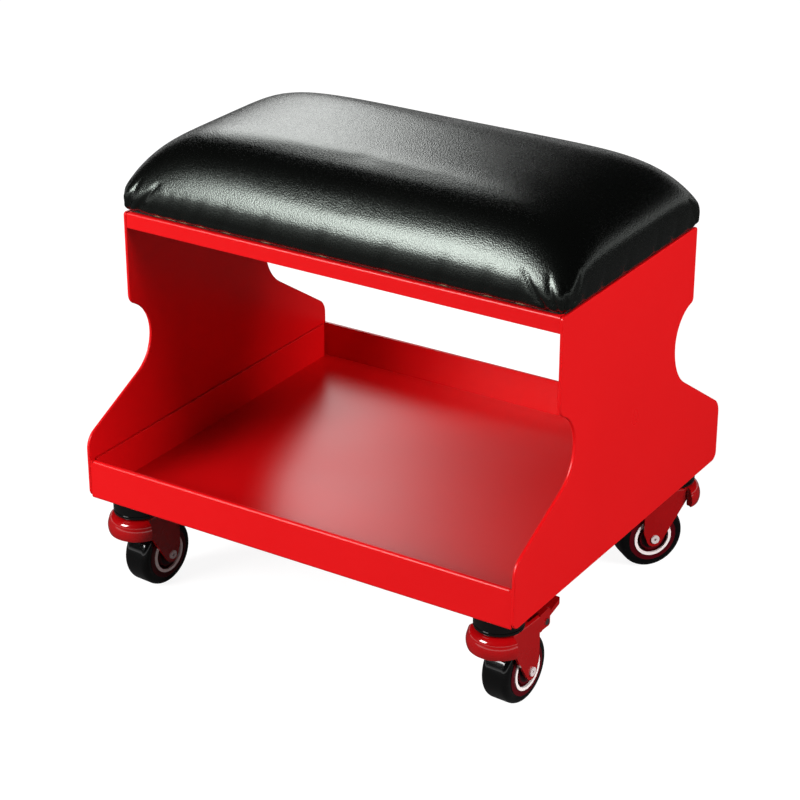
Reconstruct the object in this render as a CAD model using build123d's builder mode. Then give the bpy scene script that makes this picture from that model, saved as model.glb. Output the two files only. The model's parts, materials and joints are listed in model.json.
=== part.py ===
from build123d import *
from math import cos, hypot, pi, radians, sin, sqrt, tan
import os

os.makedirs("parts", exist_ok=True)

# Rolling detailing stool, in millimetres. The origin is on the floor under the middle of the stool,
# +Z is up, -Y is the front, where the tool tray is reached, and +X is the sitter's left.

# Running clearance and the overrun of every cut
turning_clearance = 0.05
soft_clearance = 0.3
overrun = 1.0

# Frame
overall_width = 445.0
top_depth = 241.5
foot_overhang = 68.5
plate_height = 254.5
plate_sheet = 3.0
plate_edge_round = 1.0
plate_top_corner = 3.0
foot_corner = 8.0
shoulder_radius = 18.0

# Waist of the side plates' front edge
front_waist_depth = 28.0
front_waist_height = 130.5
front_waist_upper_radius = 38.0
front_waist_lower_radius = 38.0
front_corner_radius = 12.0
front_slope_angle = 26.0

# Waist of the side plates' rear edge
rear_waist_depth = 32.0
rear_waist_height = 150.5
rear_waist_upper_radius = 33.0
rear_waist_lower_radius = 50.0
rear_corner_radius = 5.0
rear_slope_angle = 33.0

# Seat pan and tool tray, folded from one sheet size
pan_sheet = 2.5
bend_radius = 2.4
pan_lip = 15.0
tray_lip = 38.0
fold_inset = 0.6
relief_width = 2.5
relief_depth = 4.0
sheet_edge_round = 0.8
hem_gap = 0.5
hem_return = 9.0

# Cushion: board, foam and vinyl
cushion_length = 448.0
cushion_depth = 249.0
cushion_height = 75.5
cushion_tuck = 5.0
cushion_shoulder_radius = 28.0
cushion_crown_radius = 300.0
vinyl_thickness = 1.2
vinyl_lip = 26.0
board_thickness = 12.0
board_corner = 28.0
board_margin = 7.5
staple_crown = 10.0
staple_wire = 0.9
staple_leg = 7.0
staples_per_long_side = 8
staples_per_short_side = 4
staple_edge_distance = 14.0

# Seat fasteners
seat_bolt_spacing_x = 300.0
seat_bolt_spacing_y = 130.0
seat_bolt_diameter = 6.0
seat_bolt_head_flats = 10.0
seat_bolt_head_height = 4.0
seat_bolt_hole_play = 0.5
seat_washer_diameter = 16.0
seat_washer_thickness = 1.5
tee_nut_flange_diameter = 18.0
tee_nut_flange_thickness = 1.4
tee_nut_barrel_diameter = 8.0
tee_nut_barrel_length = 9.0

# Wheels
wheel_diameter = 63.5
wheel_width = 29.5
tyre_thickness = 8.0
tyre_width = 27.0
tyre_shoulder = 5.5
ring_margin = 5.0
ring_width = 2.8
ring_height = 0.9
ring_depth = 1.0
web_thickness = 9.0
hub_radius = 13.0
bearing_diameter = 22.0
bearing_width = 7.0
bearing_inset = 0.6
sleeve_diameter = 9.0
axle_diameter = 6.0
axle_head_diameter = 8.4
axle_head_height = 1.5
axle_dimple_diameter = 2.6
axle_dimple_depth = 3.0

# Caster swivel
caster_inset_x = 31.0
caster_inset_y = 30.0
caster_trail = 23.3
crown_room = 15.0
fork_sheet = 2.5
fork_side_play = 1.6
crown_radius = 28.0
crown_flat_radius = 20.0
crown_depth = 18.5
crown_step = 9.0
fork_rear_reach = 50.0
fork_stub_reach = 34.0
leg_top_front = 14.5
leg_back = 34.5
leg_back_height = 39.0
leg_tip_radius = 7.8
ear_radius = 5.5
ear_foot_drop = 16.0
ear_rise = 2.0
cheek_bend = 3.0
step_hollow_radius = 4.0
step_edge_radius = 6.0
ball_diameter = 5.0
ball_groove_depth = 0.5
upper_ball_circle = 23.0
upper_ball_count = 12
lower_ball_circle = 19.0
lower_ball_count = 10
flange_diameter = 32.0
flange_thickness = 3.0
lock_nut_flats = 17.0
lock_nut_height = 5.0
boss_diameter = 22.0
boss_height = 6.5
stem_diameter = 10.0
stem_top_gap = 0.3
shank_diameter = 9.0
shank_play = 1.2
lower_race_diameter = 26.0
lower_race_thickness = 3.0
stem_head_diameter = 14.0
stem_head_height = 2.0

# Round black cover between tray and fork
cover_diameter = 44.2
cover_wall = 1.6
cover_top_gap = 0.5
cover_fork_gap = 0.6
cover_edge_round = 2.0
cover_line_height = 3.6
cover_line_depth = 0.5
cover_line_width = 0.9

# Brake pedal of the two front casters
brake_pin_reach = 44.5
brake_pin_drop = 10.5
brake_pin_diameter = 4.0
brake_pin_head_diameter = 6.0
brake_pin_head_height = 1.0
brake_hub_radius = 4.6
brake_side_play = 1.2
brake_press_angle = 25.0
brake_cam_clearance = 0.5
brake_cam_width = 7.0
pedal_sheet = 2.5
pedal_width = 28.0
pedal_neck_reach = 8.0
pedal_neck_drop = 1.5
pedal_tip_reach = 30.7
pedal_tip_rise = 5.7
pedal_flange = 3.0
pedal_corner = 4.0

# Each caster: side of X, side of Y, angle of its trail in plan, brake
casters = {
    "front_left": (-1, -1, 85.8, True),
    "front_right": (1, -1, 86.5, True),
    "rear_left": (-1, 1, 258.0, False),
    "rear_right": (1, 1, 232.8, False),
}

# Heights that stack up from the floor
wheel_radius = wheel_diameter / 2
crown_under_z = wheel_diameter + crown_room
crown_top_z = crown_under_z + fork_sheet
race_gap = ball_diameter - 2 * ball_groove_depth
flange_under_z = crown_top_z + race_gap
flange_top_z = flange_under_z + flange_thickness
lock_nut_top_z = flange_top_z + lock_nut_height
underside_z = lock_nut_top_z + boss_height
top_z = underside_z + plate_height

# Widths and depths of the frame
inner_half_width = overall_width / 2 - plate_sheet
foot_half_depth = top_depth / 2 + foot_overhang
caster_x = overall_width / 2 - caster_inset_x
caster_y = foot_half_depth - caster_inset_y


def save(part, name):
    part.label = name
    export_step(part, "parts/" + name + ".step")


def arc_between(start, end, centre):
    # the shorter arc round centre from start to end
    radius = hypot(start[0] - centre[0], start[1] - centre[1])
    across = (start[0] + end[0]) / 2 - centre[0]
    up = (start[1] + end[1]) / 2 - centre[1]
    stretch = radius / hypot(across, up)
    middle = (centre[0] + across * stretch, centre[1] + up * stretch)
    return ThreePointArc(start, middle, end)


# Side plates

def plate_edge(side, waist_depth, waist_height, upper_radius, lower_radius, corner_radius, slope_angle):
    # one edge of a side plate, from its top corner down to its foot
    # out is counted from the straight top part of the edge, away from the plate
    def place(out, height):
        return (side * (top_depth / 2 + out), underside_z + height)

    def arc(start, end, centre):
        arc_between(place(*start), place(*end), place(*centre))

    slope = radians(slope_angle)
    upper_centre = (upper_radius - waist_depth, waist_height)
    lower_centre = (lower_radius - waist_depth, waist_height)
    both_radii = upper_radius + corner_radius
    corner_height = waist_height + sqrt(both_radii ** 2 - (both_radii - waist_depth) ** 2)
    corner_centre = (-corner_radius, corner_height)
    share = upper_radius / both_radii
    bend = (
        upper_centre[0] + share * (corner_centre[0] - upper_centre[0]),
        upper_centre[1] + share * (corner_centre[1] - upper_centre[1]),
    )
    waist = (-waist_depth, waist_height)
    slope_top = (lower_centre[0] - lower_radius * sin(slope), waist_height - lower_radius * cos(slope))
    foot_height = slope_top[1] - tan(slope) * (foot_overhang - slope_top[0])
    tangent_length = shoulder_radius * tan((pi / 2 - slope) / 2)
    slope_end = (
        foot_overhang - tangent_length * cos(slope),
        foot_height + tangent_length * sin(slope),
    )
    foot_top = (foot_overhang, foot_height - tangent_length)
    top_corner = (-plate_top_corner, plate_height)
    top_side = (0, plate_height - plate_top_corner)
    foot_side = (foot_overhang, foot_corner)
    foot_end = (foot_overhang - foot_corner, 0)

    arc(top_corner, top_side, (-plate_top_corner, plate_height - plate_top_corner))
    Line(place(*top_side), place(0, corner_height))
    arc((0, corner_height), bend, corner_centre)
    arc(bend, waist, upper_centre)
    arc(waist, slope_top, lower_centre)
    Line(place(*slope_top), place(*slope_end))
    arc(slope_end, foot_top, (foot_overhang - shoulder_radius, foot_top[1]))
    Line(place(*foot_top), place(*foot_side))
    arc(foot_side, foot_end, (foot_overhang - foot_corner, foot_corner))
    return place(*top_corner), place(*foot_end)


def make_side_plate(inner_face):
    with BuildPart() as plate:
        with BuildSketch(Plane.YZ.offset(inner_face)):
            with BuildLine():
                front_top, front_foot = plate_edge(
                    -1, front_waist_depth, front_waist_height, front_waist_upper_radius,
                    front_waist_lower_radius, front_corner_radius, front_slope_angle)
                rear_top, rear_foot = plate_edge(
                    1, rear_waist_depth, rear_waist_height, rear_waist_upper_radius,
                    rear_waist_lower_radius, rear_corner_radius, rear_slope_angle)
                Line(front_top, rear_top)
                Line(front_foot, rear_foot)
            make_face()
        extrude(amount=plate_sheet)
        fillet(plate.faces().sort_by(Axis.X)[0].edges(), radius=plate_edge_round)
        fillet(plate.faces().sort_by(Axis.X)[-1].edges(), radius=plate_edge_round)
    return plate.part


save(make_side_plate(-overall_width / 2), "side_plate_left")
save(make_side_plate(inner_half_width), "side_plate_right")

# Seat pan: a sheet with four lips turned down, relieved at its corners

pan_depth = top_depth - 2 * fold_inset
seat_bolt_hole = seat_bolt_diameter / 2 + seat_bolt_hole_play

with BuildPart() as seat_pan:
    with BuildSketch(Plane.XY.offset(top_z)):
        Rectangle(2 * inner_half_width, pan_depth)
    extrude(amount=-pan_lip)
    fillet(seat_pan.faces().sort_by(Axis.Z)[-1].edges(), radius=bend_radius)
    with BuildSketch(Plane.XY.offset(top_z - pan_sheet)):
        Rectangle(2 * (inner_half_width - pan_sheet), pan_depth - 2 * pan_sheet)
    extrude(amount=-pan_lip, mode=Mode.SUBTRACT)
    # each side lip stops short of the front and back lips
    with BuildSketch(Plane.XY.offset(top_z - pan_sheet)):
        with GridLocations(2 * inner_half_width, pan_depth - 2 * pan_sheet - relief_depth, 2, 2):
            Rectangle(2 * relief_width, relief_depth)
    extrude(amount=-(pan_lip + overrun), mode=Mode.SUBTRACT)
    free_edges = seat_pan.edges().group_by(Axis.Z)[0]
    fillet(free_edges.filter_by(lambda edge: edge.length > pan_lip), radius=sheet_edge_round)
    with BuildSketch(Plane.XY.offset(top_z)):
        with GridLocations(seat_bolt_spacing_x, seat_bolt_spacing_y, 2, 2):
            Circle(seat_bolt_hole)
    extrude(amount=-pan_sheet, mode=Mode.SUBTRACT)

save(seat_pan.part, "seat_pan")

# Tool tray: a sheet with four lips turned up; the front lip's edge is folded back as a hem

tray_depth = 2 * (foot_half_depth - fold_inset)
tray_floor_z = underside_z + pan_sheet
tray_lip_z = underside_z + tray_lip
hem_radius = pan_sheet + hem_gap / 2
hem_axis_y = -tray_depth / 2 + hem_radius
hem_axis_z = tray_lip_z - hem_radius

with BuildPart() as tool_tray:
    with BuildSketch(Plane.XY.offset(underside_z)):
        Rectangle(2 * inner_half_width, tray_depth)
    extrude(amount=tray_lip)
    fillet(tool_tray.faces().sort_by(Axis.Z)[0].edges(), radius=bend_radius)
    with BuildSketch(Plane.XY.offset(tray_floor_z)):
        Rectangle(2 * (inner_half_width - pan_sheet), tray_depth - 2 * pan_sheet)
    extrude(amount=tray_lip, mode=Mode.SUBTRACT)
    # the front lip stops at the hem's axis, where the fold begins
    with BuildSketch(Plane.XY.offset(hem_axis_z)):
        with Locations((0, -tray_depth / 2)):
            Rectangle(2 * (inner_half_width - pan_sheet), 2 * pan_sheet)
    extrude(amount=hem_radius + overrun, mode=Mode.SUBTRACT)
    with BuildSketch(Plane.YZ.offset(-(inner_half_width - pan_sheet - hem_gap))) as hem_profile:
        with Locations((hem_axis_y, hem_axis_z)):
            Circle(hem_radius)
            Circle(hem_gap / 2, mode=Mode.SUBTRACT)
        with Locations((hem_axis_y, hem_axis_z - hem_radius / 2 - overrun / 2)):
            Rectangle(2 * hem_radius + overrun, hem_radius + overrun, mode=Mode.SUBTRACT)
        with Locations((hem_axis_y + (hem_gap + pan_sheet) / 2, hem_axis_z - hem_return / 2)):
            Rectangle(pan_sheet, hem_return)
    extrude(amount=2 * (inner_half_width - pan_sheet - hem_gap))
    # each side lip stops short of the front and back lips
    with BuildSketch(Plane.XY.offset(tray_floor_z)):
        with GridLocations(2 * inner_half_width, tray_depth - 2 * pan_sheet - relief_depth, 2, 2):
            Rectangle(2 * relief_width, relief_depth)
    extrude(amount=tray_lip, mode=Mode.SUBTRACT)
    side_lip_edges = tool_tray.edges().filter_by(Axis.Y).group_by(Axis.Z)[-1]
    fillet(side_lip_edges.filter_by(lambda edge: edge.length > tray_lip), radius=sheet_edge_round)

save(tool_tray.part, "tool_tray")

# Cushion. Its sections stand across its length; each is a base line, two drawn-in sides,
# two shoulders and a crown. The tables are shares of the half length and of the middle section.

station_shares = (0.0, 0.3, 0.55, 0.75, 0.88, 0.955, 1.0)
section_depth_shares = (1.0, 1.0, 1.0, 1.0, 0.996, 0.978, 0.9)
section_height_shares = (1.0, 0.995, 0.975, 0.925, 0.79, 0.59, 0.24)
section_shoulder_shares = (1.0, 1.0, 1.0, 0.95, 0.8, 0.5, 0.2)
section_crown_shares = (1.0, 1.0, 1.0, 1.0, 1.1, 1.4, 3.0)
tuck_height_share = 0.13


def cushion_section(station, depth_share, height_share, shoulder_share, crown_share, inset):
    half_depth = cushion_depth / 2 * depth_share - inset
    base_z = top_z + soft_clearance + inset
    crown_z = top_z + soft_clearance + cushion_height * height_share - inset
    crown_radius_here = cushion_crown_radius * crown_share
    shoulder_here = cushion_shoulder_radius * shoulder_share
    crown_centre_z = crown_z - crown_radius_here
    reach = crown_radius_here - shoulder_here
    shoulder_y = half_depth - shoulder_here
    shoulder_z = crown_centre_z + sqrt(reach ** 2 - shoulder_y ** 2)
    touch = crown_radius_here / reach
    joint = (shoulder_y * touch, crown_centre_z + (shoulder_z - crown_centre_z) * touch)
    foot = (half_depth - cushion_tuck, base_z)
    with BuildSketch(Plane.YZ.offset(station)) as section:
        with BuildLine():
            Line((-foot[0], foot[1]), foot)
            for side in (1, -1):
                side_foot = (side * foot[0], foot[1])
                side_top = (side * half_depth, shoulder_z)
                side_middle = (
                    side * (half_depth - cushion_tuck * tuck_height_share),
                    base_z + (shoulder_z - base_z) / 2,
                )
                side_joint = (side * joint[0], joint[1])
                ThreePointArc(side_foot, side_middle, side_top)
                arc_between(side_top, side_joint, (side * shoulder_y, shoulder_z))
            ThreePointArc((-joint[0], joint[1]), (0, crown_z), joint)
        make_face()
    return section.sketch


def cushion_form(inset):
    half_length = cushion_length / 2 - inset
    shares = list(zip(station_shares, section_depth_shares, section_height_shares,
                      section_shoulder_shares, section_crown_shares))
    rows = [(-row[0],) + row[1:] for row in reversed(shares[1:])] + shares
    with BuildPart() as form:
        loft([cushion_section(half_length * row[0], *row[1:], inset) for row in rows])
    return form.part


board_z = top_z + soft_clearance + vinyl_thickness
board_top_z = board_z + board_thickness
board_length = cushion_length - 2 * board_margin
board_depth = cushion_depth - 2 * board_margin
staple_z = top_z + soft_clearance

with BuildPart() as cover_staples:
    long_pitch = (board_length - 2 * board_corner) / staples_per_long_side
    short_pitch = (board_depth - 2 * board_corner) / staples_per_short_side
    row_x = board_length - 2 * staple_edge_distance
    row_y = board_depth - 2 * staple_edge_distance
    with BuildSketch(Plane.XY.offset(staple_z)):
        with GridLocations(long_pitch, row_y, staples_per_long_side, 2):
            Rectangle(staple_crown, staple_wire)
        with GridLocations(row_x, short_pitch, 2, staples_per_short_side):
            Rectangle(staple_wire, staple_crown)
    extrude(amount=staple_wire)
    leg_offset = (staple_crown - staple_wire) / 2
    with BuildSketch(Plane.XY.offset(staple_z)):
        with GridLocations(long_pitch, row_y, staples_per_long_side, 2):
            with Locations((-leg_offset, 0), (leg_offset, 0)):
                Rectangle(staple_wire, staple_wire)
        with GridLocations(row_x, short_pitch, 2, staples_per_short_side):
            with Locations((0, -leg_offset), (0, leg_offset)):
                Rectangle(staple_wire, staple_wire)
    extrude(amount=staple_wire + staple_leg)

save(cover_staples.part, "cover_staples")

with BuildPart() as seat_board:
    with BuildSketch(Plane.XY.offset(board_z)):
        RectangleRounded(board_length, board_depth, board_corner)
    extrude(amount=board_thickness)
    with BuildSketch(Plane.XY.offset(board_top_z)):
        with GridLocations(seat_bolt_spacing_x, seat_bolt_spacing_y, 2, 2):
            Circle(tee_nut_flange_diameter / 2)
    extrude(amount=-tee_nut_flange_thickness, mode=Mode.SUBTRACT)
    with BuildSketch(Plane.XY.offset(board_top_z)):
        with GridLocations(seat_bolt_spacing_x, seat_bolt_spacing_y, 2, 2):
            Circle(tee_nut_barrel_diameter / 2)
    extrude(amount=-(board_thickness + overrun), mode=Mode.SUBTRACT)
    add(cover_staples.part, mode=Mode.SUBTRACT)

save(seat_board.part, "seat_board")

foam_form = cushion_form(vinyl_thickness + soft_clearance)
outer_form = cushion_form(0)
inner_form = cushion_form(vinyl_thickness)

with BuildPart() as seat_foam:
    add(foam_form)
    with BuildSketch(Plane.XY.offset(board_top_z)):
        Rectangle(2 * cushion_length, 2 * cushion_depth)
    extrude(amount=-cushion_height, mode=Mode.SUBTRACT)

save(seat_foam.part, "seat_foam")

with BuildPart() as seat_cover:
    add(outer_form)
    add(inner_form, mode=Mode.SUBTRACT)
    with BuildSketch(Plane.XY.offset(board_z)):
        RectangleRounded(board_length + soft_clearance, board_depth + soft_clearance, board_corner)
    extrude(amount=board_thickness, mode=Mode.SUBTRACT)
    with BuildSketch(Plane.XY.offset(top_z)):
        RectangleRounded(board_length - 2 * vinyl_lip, board_depth - 2 * vinyl_lip, board_corner / 2)
    extrude(amount=soft_clearance + vinyl_thickness + overrun, mode=Mode.SUBTRACT)
    add(cover_staples.part, mode=Mode.SUBTRACT)

save(seat_cover.part, "seat_cover")

# Seat fasteners

bolt_head_z = top_z - pan_sheet - seat_washer_thickness
tee_nut_bore = seat_bolt_diameter / 2 + turning_clearance

with BuildPart() as tee_nuts:
    with BuildSketch(Plane.XY.offset(board_top_z)):
        with GridLocations(seat_bolt_spacing_x, seat_bolt_spacing_y, 2, 2):
            Circle(tee_nut_flange_diameter / 2)
            Circle(tee_nut_bore, mode=Mode.SUBTRACT)
    extrude(amount=-tee_nut_flange_thickness)
    with BuildSketch(Plane.XY.offset(board_top_z)):
        with GridLocations(seat_bolt_spacing_x, seat_bolt_spacing_y, 2, 2):
            Circle(tee_nut_barrel_diameter / 2)
            Circle(tee_nut_bore, mode=Mode.SUBTRACT)
    extrude(amount=-(tee_nut_flange_thickness + tee_nut_barrel_length))

save(tee_nuts.part, "tee_nuts")

with BuildPart() as seat_washers:
    with BuildSketch(Plane.XY.offset(bolt_head_z)):
        with GridLocations(seat_bolt_spacing_x, seat_bolt_spacing_y, 2, 2):
            Circle(seat_washer_diameter / 2)
            Circle(seat_bolt_hole, mode=Mode.SUBTRACT)
    extrude(amount=seat_washer_thickness)

save(seat_washers.part, "seat_washers")

with BuildPart() as seat_bolts:
    with BuildSketch(Plane.XY.offset(bolt_head_z)):
        with GridLocations(seat_bolt_spacing_x, seat_bolt_spacing_y, 2, 2):
            RegularPolygon(seat_bolt_head_flats / 2, 6, major_radius=False)
    extrude(amount=-seat_bolt_head_height)
    with BuildSketch(Plane.XY.offset(bolt_head_z)):
        with GridLocations(seat_bolt_spacing_x, seat_bolt_spacing_y, 2, 2):
            Circle(seat_bolt_diameter / 2)
    extrude(amount=board_top_z - bolt_head_z - tee_nut_flange_thickness)

save(seat_bolts.part, "seat_bolts")

# Fixed parts of the casters, one solid at each corner of the tray

cover_under_z = crown_top_z + cover_fork_gap
cover_top_z = underside_z - cover_top_gap
lower_race_top_z = crown_under_z - race_gap
lower_race_under_z = lower_race_top_z - lower_race_thickness
stem_foot_z = lower_race_under_z - stem_head_height

with BuildPart() as caster_bosses:
    with BuildSketch(Plane.XY.offset(lock_nut_top_z)):
        with GridLocations(2 * caster_x, 2 * caster_y, 2, 2):
            Circle(boss_diameter / 2)
            Circle(stem_diameter / 2 + turning_clearance, mode=Mode.SUBTRACT)
    extrude(amount=boss_height)

save(caster_bosses.part, "caster_bosses")

with BuildPart() as caster_lock_nuts:
    with BuildSketch(Plane.XY.offset(flange_top_z)):
        with GridLocations(2 * caster_x, 2 * caster_y, 2, 2):
            RegularPolygon(lock_nut_flats / 2, 6, major_radius=False)
            Circle(stem_diameter / 2 + turning_clearance, mode=Mode.SUBTRACT)
    extrude(amount=lock_nut_height)

save(caster_lock_nuts.part, "caster_lock_nuts")


def corner_discs(z, radius):
    # one level disc at every corner of the tray
    with BuildSketch(Plane.XY.offset(z)) as discs:
        with GridLocations(2 * caster_x, 2 * caster_y, 2, 2):
            Circle(radius)
    return discs.sketch


def ball_ring(corner, circle_diameter, ball_z):
    # the round groove in which a ring of balls runs
    side_x, side_y, angle, braked = casters[corner]
    place = Plane((side_x * caster_x, side_y * caster_y, ball_z))
    return place * Torus(circle_diameter / 2, ball_diameter / 2 + turning_clearance)


upper_ball_z = crown_top_z + race_gap / 2
lower_ball_z = crown_under_z - race_gap / 2
upper_rings = [ball_ring(corner, upper_ball_circle, upper_ball_z) for corner in casters]
lower_rings = [ball_ring(corner, lower_ball_circle, lower_ball_z) for corner in casters]
thread_discs = corner_discs(flange_top_z, stem_diameter / 2)
flange_discs = corner_discs(flange_under_z, flange_diameter / 2)
shank_discs = corner_discs(lower_race_under_z, shank_diameter / 2)
head_discs = corner_discs(stem_foot_z, stem_head_diameter / 2)

with BuildPart() as caster_stems:
    extrude(thread_discs, amount=underside_z - flange_top_z - stem_top_gap)
    extrude(flange_discs, amount=flange_thickness)
    extrude(shank_discs, amount=flange_under_z - lower_race_under_z)
    extrude(head_discs, amount=stem_head_height)
    add(upper_rings, mode=Mode.SUBTRACT)

save(caster_stems.part, "caster_stems")

with BuildPart() as caster_lower_races:
    with BuildSketch(Plane.XY.offset(lower_race_under_z)):
        with GridLocations(2 * caster_x, 2 * caster_y, 2, 2):
            Circle(lower_race_diameter / 2)
            Circle(shank_diameter / 2 + turning_clearance, mode=Mode.SUBTRACT)
    extrude(amount=lower_race_thickness)
    add(lower_rings, mode=Mode.SUBTRACT)

save(caster_lower_races.part, "caster_lower_races")

with BuildPart() as caster_covers:
    with BuildSketch(Plane.XY.offset(cover_under_z)):
        with GridLocations(2 * caster_x, 2 * caster_y, 2, 2):
            Circle(cover_diameter / 2)
    extrude(amount=cover_top_z - cover_under_z)
    cover_rims = caster_covers.edges().filter_by(GeomType.CIRCLE)
    fillet(cover_rims, radius=cover_edge_round)
    with BuildSketch(Plane.XY.offset(cover_under_z)):
        with GridLocations(2 * caster_x, 2 * caster_y, 2, 2):
            Circle(cover_diameter / 2 - cover_wall)
    extrude(amount=cover_top_z - cover_under_z - cover_wall, mode=Mode.SUBTRACT)
    with BuildSketch(Plane.XY.offset(cover_under_z)):
        with GridLocations(2 * caster_x, 2 * caster_y, 2, 2):
            Circle(boss_diameter / 2 + turning_clearance)
    extrude(amount=cover_top_z - cover_under_z, mode=Mode.SUBTRACT)
    with BuildSketch(Plane.XY.offset(cover_under_z + cover_line_height)):
        with GridLocations(2 * caster_x, 2 * caster_y, 2, 2):
            Circle(cover_diameter / 2 + overrun)
            Circle(cover_diameter / 2 - cover_line_depth, mode=Mode.SUBTRACT)
    extrude(amount=cover_line_width, mode=Mode.SUBTRACT)

save(caster_covers.part, "caster_covers")

# Turning parts of the casters. Along the trail is local x of a caster's plane.

cheek_inner = wheel_width / 2 + fork_side_play
cheek_outer = cheek_inner + fork_sheet
brake_pin_z = crown_top_z - brake_pin_drop
leg_top_z = crown_under_z


def side_plane(corner, offset):
    # upright plane along a caster's trail: x along the trail, y up, offset to one side
    side_x, side_y, angle, braked = casters[corner]
    along = Vector(cos(radians(angle)), sin(radians(angle)), 0)
    across = Vector(along.Y, -along.X, 0)
    origin = Vector(side_x * caster_x, side_y * caster_y, 0) + across * offset
    return Plane(origin=origin, x_dir=along, z_dir=across)


def level_plane(corner, z):
    # level plane of a caster: x along the trail
    side_x, side_y, angle, braked = casters[corner]
    along = Vector(cos(radians(angle)), sin(radians(angle)), 0)
    return Plane(origin=(side_x * caster_x, side_y * caster_y, z), x_dir=along, z_dir=(0, 0, 1))


# Places on the crown's outline, as shares of its radius and its depth: two rolls with a crease between
crown_crease_shares = (0.955, 0.33)
crown_belly_shares = (1.0, 0.64)
crown_rim_shares = (0.955, 1.0)


def crown_profile(corner, inset):
    # half section of the dished crown; the inset one is its hollow
    rise = crown_top_z - inset

    def place(shares):
        return (crown_radius * shares[0] - inset, crown_top_z - crown_depth * shares[1])

    flat_end = (crown_flat_radius - inset / 2, rise)
    crease = place(crown_crease_shares)
    belly = place(crown_belly_shares)
    rim = place(crown_rim_shares)
    with BuildSketch(side_plane(corner, 0)) as profile:
        with BuildLine():
            Line((0, rise), flat_end)
            TangentArc(flat_end, crease, tangent=(1, 0))
            ThreePointArc(crease, belly, rim)
            Line(rim, (0, rim[1]))
            Line((0, rim[1]), (0, rise))
        make_face()
    return profile.sketch


def step_cutter(corner, side, inset):
    # plan of what is taken off the crown behind its step, where the arch takes over
    half_width = side * (cheek_outer - inset)
    step = -(crown_step + inset)
    hollow = side * step_hollow_radius
    edge = side * step_edge_radius
    past = side * 2 * crown_radius
    with BuildSketch(level_plane(corner, crown_top_z - crown_depth)) as cutter:
        with BuildLine():
            start = (step + step_hollow_radius, half_width)
            bend = (step, half_width + hollow)
            end = (step - step_edge_radius, half_width + hollow + edge)
            arc_between(start, bend, (step + step_hollow_radius, half_width + hollow))
            arc_between(bend, end, (step - step_edge_radius, half_width + hollow))
            Line(end, (end[0], past))
            Line((end[0], past), (2 * crown_radius, past))
            Line((2 * crown_radius, past), (2 * crown_radius, 0))
            Line((2 * crown_radius, 0), (start[0], 0))
            Line((start[0], 0), start)
        make_face()
    return cutter.sketch


def arch_section(corner, inset):
    # section across the rear arch, with its two bends
    half_width = cheek_outer - inset
    height = crown_depth - inset
    plane = side_plane(corner, 0)
    front = plane.from_local_coords((-(crown_step + overrun), crown_top_z - crown_depth))
    across = Plane(origin=front, x_dir=plane.z_dir, z_dir=-plane.x_dir)
    with BuildSketch(across) as section:
        with Locations((0, height / 2)):
            Rectangle(2 * half_width, height)
        fillet(section.vertices().group_by(Axis.Y)[-1], radius=cheek_bend - inset)
    return section.sketch


def fork_envelope(corner, inset, reach):
    # the filled shape of crown and rear arch; taken again with an inset it is their hollow
    side_x, side_y, angle, braked = casters[corner]
    swivel = Axis((side_x * caster_x, side_y * caster_y, 0), (0, 0, 1))
    crown = crown_profile(corner, inset)
    cutters = [step_cutter(corner, side, inset) for side in (1, -1)]
    arch = arch_section(corner, inset)
    with BuildPart() as envelope:
        revolve(crown, axis=swivel)
        for cutter in cutters:
            extrude(cutter, amount=crown_depth + overrun, mode=Mode.SUBTRACT)
        extrude(arch, amount=-(reach + crown_step + overrun))
    return envelope.part


def leg_sketch(corner, offset, braked):
    # outline of one leg: a hull from the crown down to the axle, and an ear for the brake's pin
    with BuildSketch(side_plane(corner, offset)) as leg:
        with BuildLine():
            CenterArc((caster_trail, wheel_radius), leg_tip_radius, 0, 360)
            Line((-leg_top_front, leg_top_z), (leg_back, leg_top_z))
            Line((leg_back, leg_top_z), (leg_back, leg_back_height))
        make_hull()
        if braked:
            Polygon(
                (leg_back / 2, leg_top_z),
                (leg_back / 2, crown_top_z - ear_foot_drop),
                (fork_rear_reach, crown_top_z - ear_foot_drop),
                (fork_rear_reach, crown_top_z + ear_rise),
                (leg_back, crown_top_z),
                (leg_back, leg_top_z),
                align=None,
            )
            fillet(leg.vertices().sort_by(Axis.X)[-2:], radius=ear_radius / 2)
        with Locations((caster_trail, wheel_radius)):
            Circle(axle_diameter / 2 + turning_clearance, mode=Mode.SUBTRACT)
        if braked:
            with Locations((brake_pin_reach, brake_pin_z)):
                Circle(brake_pin_diameter / 2 + turning_clearance, mode=Mode.SUBTRACT)
    return leg.sketch


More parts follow.
